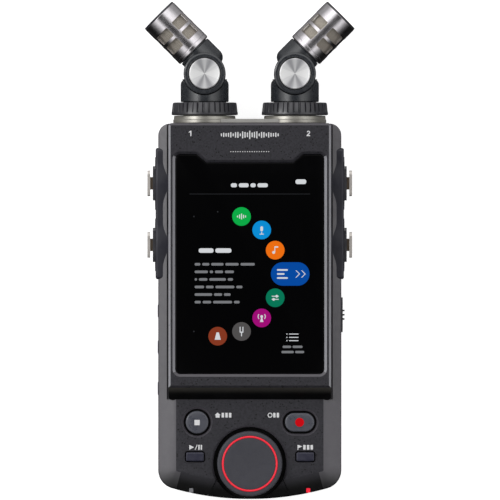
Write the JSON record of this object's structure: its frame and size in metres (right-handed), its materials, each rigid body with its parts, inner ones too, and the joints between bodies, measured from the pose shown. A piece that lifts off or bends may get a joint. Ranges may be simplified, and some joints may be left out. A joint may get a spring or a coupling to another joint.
{
  "type": "portable field recorder",
  "caption": "Hand-held audio recorder with a touch display, jog wheel, combination jacks on both sides and two tilting microphones at the top.",
  "frame": {"origin": "on the flat back, midway between the chin and the microphone tips and midway between the sides", "axes": "+X to the recorder's right-hand side, +Y towards the microphones, +Z out of the display"},
  "size_m": [0.089, 0.2111, 0.0367],
  "materials": {
    "case_plastic": "fine speckled matt",
    "rail_plastic": "smooth satin",
    "black_plastic": "satin",
    "key_plastic": "satin",
    "cover_glass": "gloss black behind clear",
    "collar_metal": "satin warm grey",
    "silver_metal": "brushed",
    "smoked_metal": "polished dark",
    "steel": "bright",
    "brass": "turned",
    "circuit_board": "solder mask",
    "red_lens": "clear red",
    "grey_lens": "milky grey",
    "screen_gauze": "woven",
    "cell_skin": "printed sleeve"
  },
  "bodies": {
    "body": {"rear_case": "case_plastic", "front_case": "case_plastic", "display_bezel": "case_plastic", "touch_glass": "cover_glass", "screen_module": "black_plastic", "top_plate": "collar_metal", "wheel_encoder": "black_plastic", "phones_jack": "black_plastic", "usb_port": "steel", "left_light_pipe": "grey_lens", "right_light_pipe": "red_lens", "main_board": "circuit_board", "keypad_board": "circuit_board", "card_socket": "steel", "tripod_insert": "brass", "speaker": "black_plastic", "case_screw_1": "steel", "battery_cell_1": "cell_skin", "case_screw_2": "steel", "battery_cell_2": "cell_skin", "case_screw_3": "steel", "battery_cell_3": "cell_skin", "case_screw_4": "steel", "battery_cell_4": "cell_skin", "left_jack_panel": "black_plastic", "left_mic_collar": "collar_metal", "left_upper_jack": "black_plastic", "left_lower_jack": "black_plastic", "right_jack_panel": "black_plastic", "right_mic_collar": "collar_metal", "right_upper_jack": "black_plastic", "right_lower_jack": "black_plastic"},
    "jog_wheel": {"jog_wheel": "key_plastic", "wheel_ring": "red_lens"},
    "stop_button": {"stop_button": "key_plastic"},
    "record_button": {"record_button": "key_plastic"},
    "play_button": {"play_button": "key_plastic"},
    "mark_button": {"mark_button": "key_plastic"},
    "volume_up_key": {"volume_up_key": "key_plastic"},
    "volume_down_key": {"volume_down_key": "key_plastic"},
    "power_slider": {"power_slider": "black_plastic"},
    "left_upper_lever": {"left_upper_lever": "silver_metal"},
    "left_lower_lever": {"left_lower_lever": "silver_metal"},
    "right_upper_lever": {"right_upper_lever": "silver_metal"},
    "right_lower_lever": {"right_lower_lever": "silver_metal"},
    "left_mic_unit": {"left_mic_base": "case_plastic"},
    "left_lock_ring": {"left_lock_ring": "black_plastic"},
    "left_microphone": {"left_mic_arm": "black_plastic", "left_pivot_cap": "silver_metal", "left_mic_head": "smoked_metal", "left_mic_capsule": "screen_gauze"},
    "right_mic_unit": {"right_mic_base": "case_plastic"},
    "right_lock_ring": {"right_lock_ring": "black_plastic"},
    "right_microphone": {"right_mic_arm": "black_plastic", "right_pivot_cap": "silver_metal", "right_mic_head": "smoked_metal", "right_mic_capsule": "screen_gauze"},
    "battery_door": {"battery_door": "case_plastic"},
    "card_door": {"card_door": "case_plastic"}
  },
  "joints": [
    {"name": "jog_wheel_turn", "type": "hinge", "parent": "body", "child": "jog_wheel", "pos_m": [0, -0.0905, 0.03], "axis": [0, 0, 1], "continuous": true},
    {"name": "stop_button_press", "type": "slide", "parent": "body", "child": "stop_button", "axis": [0, 0, -1], "range_m": [0, 0.0007], "stiffness_N_per_m": 1500},
    {"name": "record_button_press", "type": "slide", "parent": "body", "child": "record_button", "axis": [0, 0, -1], "range_m": [0, 0.0007], "stiffness_N_per_m": 1500},
    {"name": "play_button_press", "type": "slide", "parent": "body", "child": "play_button", "axis": [0, 0, -1], "range_m": [0, 0.0007], "stiffness_N_per_m": 1500},
    {"name": "mark_button_press", "type": "slide", "parent": "body", "child": "mark_button", "axis": [0, 0, -1], "range_m": [0, 0.0007], "stiffness_N_per_m": 1500},
    {"name": "volume_up_press", "type": "slide", "parent": "body", "child": "volume_up_key", "axis": [1, 0, 0], "range_m": [0, 0.00035], "stiffness_N_per_m": 1500},
    {"name": "volume_down_press", "type": "slide", "parent": "body", "child": "volume_down_key", "axis": [1, 0, 0], "range_m": [0, 0.00035], "stiffness_N_per_m": 1500},
    {"name": "power_slide", "type": "slide", "parent": "body", "child": "power_slider", "axis": [0, 1, 0], "range_m": [-0.002, 0.002]},
    {"name": "left_upper_lever_press", "type": "slide", "parent": "body", "child": "left_upper_lever", "axis": [1, 0, 0], "range_m": [0, 0.0008], "stiffness_N_per_m": 1500},
    {"name": "left_lower_lever_press", "type": "slide", "parent": "body", "child": "left_lower_lever", "axis": [1, 0, 0], "range_m": [0, 0.0008], "stiffness_N_per_m": 1500},
    {"name": "right_upper_lever_press", "type": "slide", "parent": "body", "child": "right_upper_lever", "axis": [-1, 0, 0], "range_m": [0, 0.0008], "stiffness_N_per_m": 1500},
    {"name": "right_lower_lever_press", "type": "slide", "parent": "body", "child": "right_lower_lever", "axis": [-1, 0, 0], "range_m": [0, 0.0008], "stiffness_N_per_m": 1500},
    {"name": "left_mic_release", "type": "slide", "parent": "body", "child": "left_mic_unit", "axis": [0, 1, 0], "range_m": [0, 0.012]},
    {"name": "left_lock_ring_turn", "type": "hinge", "parent": "left_mic_unit", "child": "left_lock_ring", "pos_m": [-0.01915, 0.06, 0.018], "axis": [0, 1, 0], "range_deg": [0, 120]},
    {"name": "left_mic_tilt", "type": "hinge", "parent": "left_mic_unit", "child": "left_microphone", "pos_m": [-0.01915, 0.0747, 0.018], "axis": [0, 0, -1], "range_deg": [0, 45]},
    {"name": "right_mic_release", "type": "slide", "parent": "body", "child": "right_mic_unit", "axis": [0, 1, 0], "range_m": [0, 0.012]},
    {"name": "right_lock_ring_turn", "type": "hinge", "parent": "right_mic_unit", "child": "right_lock_ring", "pos_m": [0.01915, 0.06, 0.018], "axis": [0, 1, 0], "range_deg": [0, 120]},
    {"name": "right_mic_tilt", "type": "hinge", "parent": "right_mic_unit", "child": "right_microphone", "pos_m": [0.01915, 0.0747, 0.018], "axis": [0, 0, 1], "range_deg": [0, 45]},
    {"name": "battery_door_slide", "type": "slide", "parent": "body", "child": "battery_door", "axis": [0, -1, 0], "range_m": [0, 0.062]},
    {"name": "card_door_swing", "type": "hinge", "parent": "body", "child": "card_door", "pos_m": [0.03815, -0.06, 0.01885], "axis": [0, 1, 0], "range_deg": [0, 90]}
  ]
}
